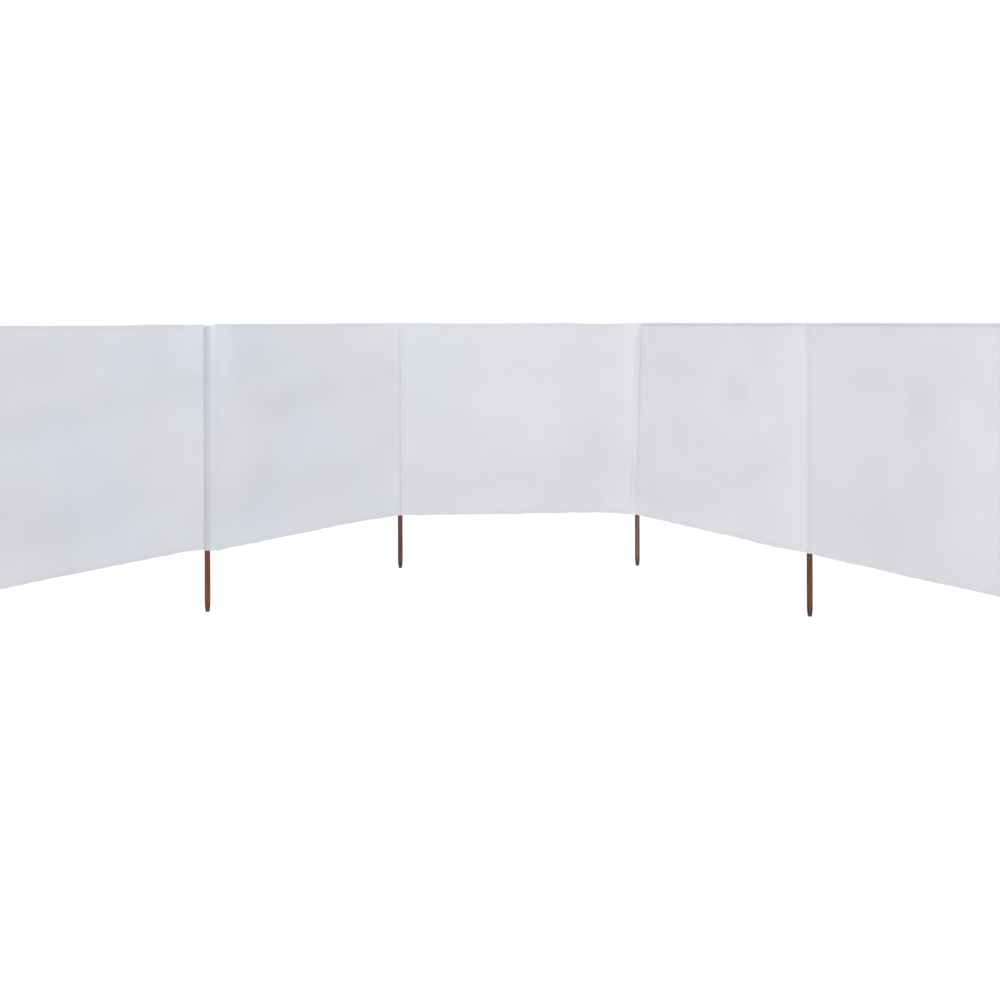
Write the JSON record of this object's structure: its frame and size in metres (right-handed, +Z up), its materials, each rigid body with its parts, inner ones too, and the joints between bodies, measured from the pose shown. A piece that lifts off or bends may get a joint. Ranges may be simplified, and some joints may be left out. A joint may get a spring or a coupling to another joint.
{
  "type": "beach windbreak",
  "caption": "Beach windbreak: a long white cloth in equal bays, held upright by stained wooden posts in sewn sleeves, with bare pointed feet to push into the sand",
  "frame": {"origin": "centre of the small flat end at the foot of post_3, the left post of the middle bay", "axes": "+Z up along the posts, +X along the middle bay from post_3 to post_4, the side bays come round towards -Y"},
  "size_m": [3.2241, 1.8132, 1.017],
  "materials": {
    "cloth": "white woven polyester, matt",
    "wood": "turned softwood, stained red-brown, matt"
  },
  "bodies": {
    "middle_bay": {"panel_3": "cloth", "top_hem_3": "cloth", "bottom_hem_3": "cloth", "post_3": "wood", "sleeve_3": "cloth", "sleeve_cap_3": "cloth", "post_4": "wood", "sleeve_4": "cloth", "sleeve_cap_4": "cloth"},
    "bay_2": {"panel_2": "cloth", "top_hem_2": "cloth", "bottom_hem_2": "cloth", "post_2": "wood", "sleeve_2": "cloth", "sleeve_cap_2": "cloth"},
    "bay_1": {"panel_1": "cloth", "top_hem_1": "cloth", "bottom_hem_1": "cloth", "post_1": "wood", "sleeve_1": "cloth", "sleeve_cap_1": "cloth"},
    "bay_4": {"panel_4": "cloth", "top_hem_4": "cloth", "bottom_hem_4": "cloth", "post_5": "wood", "sleeve_5": "cloth", "sleeve_cap_5": "cloth"},
    "bay_5": {"panel_5": "cloth", "top_hem_5": "cloth", "bottom_hem_5": "cloth", "post_6": "wood", "sleeve_6": "cloth", "sleeve_cap_6": "cloth"}
  },
  "joints": [
    {"name": "turn_at_post_3", "type": "hinge", "parent": "middle_bay", "child": "bay_2", "pos_m": [0, 0, 0.617], "axis": [0, 0, 1], "range_deg": [-116.9, 23.1]},
    {"name": "turn_at_post_2", "type": "hinge", "parent": "bay_2", "child": "bay_1", "pos_m": [-0.67781, -0.72432, 0.617], "axis": [0, 0, 1], "range_deg": [-72, 68]},
    {"name": "turn_at_post_4", "type": "hinge", "parent": "middle_bay", "child": "bay_4", "pos_m": [0.992, 0, 0.617], "axis": [0, 0, -1], "range_deg": [-134.2, 5.8]},
    {"name": "turn_at_post_5", "type": "hinge", "parent": "bay_4", "child": "bay_5", "pos_m": [1.42375, -0.89312, 0.617], "axis": [0, 0, -1], "range_deg": [-69, 71]}
  ]
}
